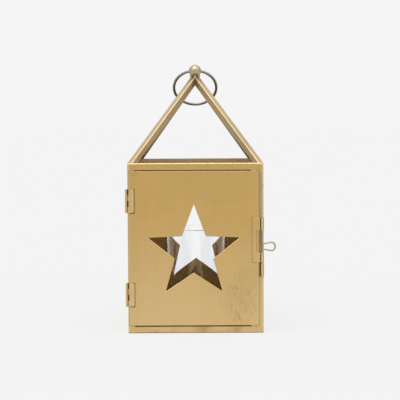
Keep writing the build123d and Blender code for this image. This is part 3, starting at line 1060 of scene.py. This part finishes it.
class LANTERN_OT_stage(Operator):
    """Set up the floor, the light and the camera"""

    bl_idname = "lantern.stage"
    bl_label = "Stage"

    def execute(self, context):
        scene = context.scene
        stage = scene.lantern_stage
        scene.view_settings.view_transform = "Standard"
        self.floor(stage)
        self.sky(stage)
        self.lamp(stage)
        self.camera(stage)
        return {"FINISHED"}

    def shows_white(self, tree, glossy_share):
        """How far a ray shows the plain background: camera and transmission rays fully, glossy rays in part."""
        rays = tree.nodes.new("ShaderNodeLightPath")
        seen = worked(tree, "MAXIMUM", rays.outputs["Is Camera Ray"], rays.outputs["Is Transmission Ray"])
        glossy = worked(tree, "MULTIPLY", rays.outputs["Is Glossy Ray"], glossy_share)
        return worked(tree, "MAXIMUM", seen, glossy)

    def floor(self, stage):
        """A wide pale floor that keeps the lantern's shadow and otherwise shows the background."""
        half, level, glow_share = 20.0, -0.0001, 0.85
        square = ((-half, -half), (half, -half), (half, half), (-half, half))
        shape = bmesh.new()
        shape.faces.new([shape.verts.new((x, y, level)) for x, y in square])
        mesh = bpy.data.meshes.new("floor")
        shape.to_mesh(mesh)
        shape.free()
        floor = bpy.data.objects.new("floor", mesh)
        bpy.context.scene.collection.objects.link(floor)
        material = bpy.data.materials.new("pale_floor")
        material.use_nodes = True
        tree = material.node_tree
        tree.nodes.clear()
        paint = tree.nodes.new("ShaderNodeBsdfDiffuse")
        paint.inputs["Color"].default_value = solid([stage.floor_paint] * 3)
        glow = tree.nodes.new("ShaderNodeEmission")
        glow.inputs["Color"].default_value = solid([stage.background] * 3)
        join = tree.nodes.new("ShaderNodeMixShader")
        feed(tree, join.inputs[0], worked(tree, "MULTIPLY", self.shows_white(tree, 1.0), glow_share))
        tree.links.new(paint.outputs[0], join.inputs[1])
        tree.links.new(glow.outputs[0], join.inputs[2])
        surface = tree.nodes.new("ShaderNodeOutputMaterial")
        tree.links.new(join.outputs[0], surface.inputs[0])
        mesh.materials.append(material)

    def sky(self, stage):
        """A soft studio: bright overhead, two soft boxes in front, dimmer at both sides."""
        plain, overhead_gain, box_gain, side_loss = 0.85, 0.30, 0.7, 0.3
        world = bpy.data.worlds.new("studio")
        bpy.context.scene.world = world
        world.use_nodes = True
        tree = world.node_tree
        tree.nodes.clear()
        way = tree.nodes.new("ShaderNodeTexCoord").outputs["Generated"]
        across, _, up = parted(tree, way)
        level = ramped(tree, up, 0.30, 0.95, 0.0, overhead_gain)
        for box_way in ((-0.73, -0.45, 0.51), (0.73, -0.45, 0.51)):
            soft_box = ramped(tree, measured(tree, "DOT_PRODUCT", way, box_way), 0.86, 0.97, 0.0, box_gain)
            level = worked(tree, "ADD", level, soft_box)
        aside = ramped(tree, worked(tree, "ABSOLUTE", across), 0.45, 0.95, 0.0, side_loss)
        level = worked(tree, "ADD", worked(tree, "SUBTRACT", level, aside), plain)
        share = self.shows_white(tree, 0.25)
        grey = tree.nodes.new("ShaderNodeCombineColor")
        for socket in grey.inputs[:3]:
            feed(tree, socket, level)
        colour = mixed(tree, share, grey.outputs[0], solid([stage.background] * 3))
        light = tree.nodes.new("ShaderNodeBackground")
        feed(tree, light.inputs["Color"], colour)
        surface = tree.nodes.new("ShaderNodeOutputWorld")
        tree.links.new(light.outputs[0], surface.inputs[0])

    def lamp(self, stage):
        """The soft light overhead."""
        lamp = bpy.data.lights.new("overhead", "SUN")
        lamp.energy = stage.key_light
        lamp.angle = math.radians(50)
        piece = bpy.data.objects.new("overhead", lamp)
        piece.rotation_euler = Vector(stage.light_from).to_track_quat("Z", "Y").to_euler()
        bpy.context.scene.collection.objects.link(piece)

    def camera(self, stage):
        """The camera, in front of the door and looking a little down."""
        camera = bpy.data.cameras.new("camera")
        camera.lens = stage.lens
        camera.sensor_width = 36.0
        camera.sensor_fit = "HORIZONTAL"
        camera.clip_start = 0.01
        camera.clip_end = 100.0
        piece = bpy.data.objects.new("camera", camera)
        piece.matrix_world = (Matrix.Translation(stage.camera_place)
                              @ Matrix.Rotation(math.pi / 2 - stage.camera_pitch, 4, "X")
                              @ Matrix.Rotation(-stage.camera_roll, 4, "Z"))
        bpy.context.scene.collection.objects.link(piece)
        bpy.context.scene.camera = piece


# Sidebar

build_steps = (
    LANTERN_OT_frame_bars, LANTERN_OT_leg_feet, LANTERN_OT_ball, LANTERN_OT_sheets, LANTERN_OT_panel_seams,
    LANTERN_OT_hinges, LANTERN_OT_latch, LANTERN_OT_carrying_ring, LANTERN_OT_glass, LANTERN_OT_stage,
)
setting_groups = (
    ("lantern_finishes", LanternFinishes), ("lantern_details", LanternDetails), ("lantern_stage", LanternStage),
)


class LANTERN_PT_sidebar(Panel):
    """Settings and build steps of the star lantern"""

    bl_idname = "LANTERN_PT_sidebar"
    bl_label = "Star lantern"
    bl_space_type = "VIEW_3D"
    bl_region_type = "UI"
    bl_category = "Lantern"

    def draw(self, context):
        layout = self.layout
        for name, group in setting_groups:
            box = layout.box()
            for setting in group.__annotations__:
                box.prop(getattr(context.scene, name), setting)
        for step in build_steps:
            layout.operator(step.bl_idname)


def register():
    for name, group in setting_groups:
        bpy.utils.register_class(group)
        setattr(bpy.types.Scene, name, PointerProperty(type=group))
    for step in (*build_steps, LANTERN_PT_sidebar):
        bpy.utils.register_class(step)


def unregister():
    for step in reversed((*build_steps, LANTERN_PT_sidebar)):
        bpy.utils.unregister_class(step)
    for name, group in reversed(setting_groups):
        delattr(bpy.types.Scene, name)
        bpy.utils.unregister_class(group)


def main():
    register()
    bpy.ops.lantern.frame_bars()
    bpy.ops.lantern.leg_feet()
    bpy.ops.lantern.ball()
    bpy.ops.lantern.sheets()
    bpy.ops.lantern.panel_seams()
    bpy.ops.lantern.hinges()
    bpy.ops.lantern.latch()
    bpy.ops.lantern.carrying_ring()
    bpy.ops.lantern.glass()
    bpy.ops.lantern.stage()
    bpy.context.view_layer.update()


if __name__ == "__main__":
    main()
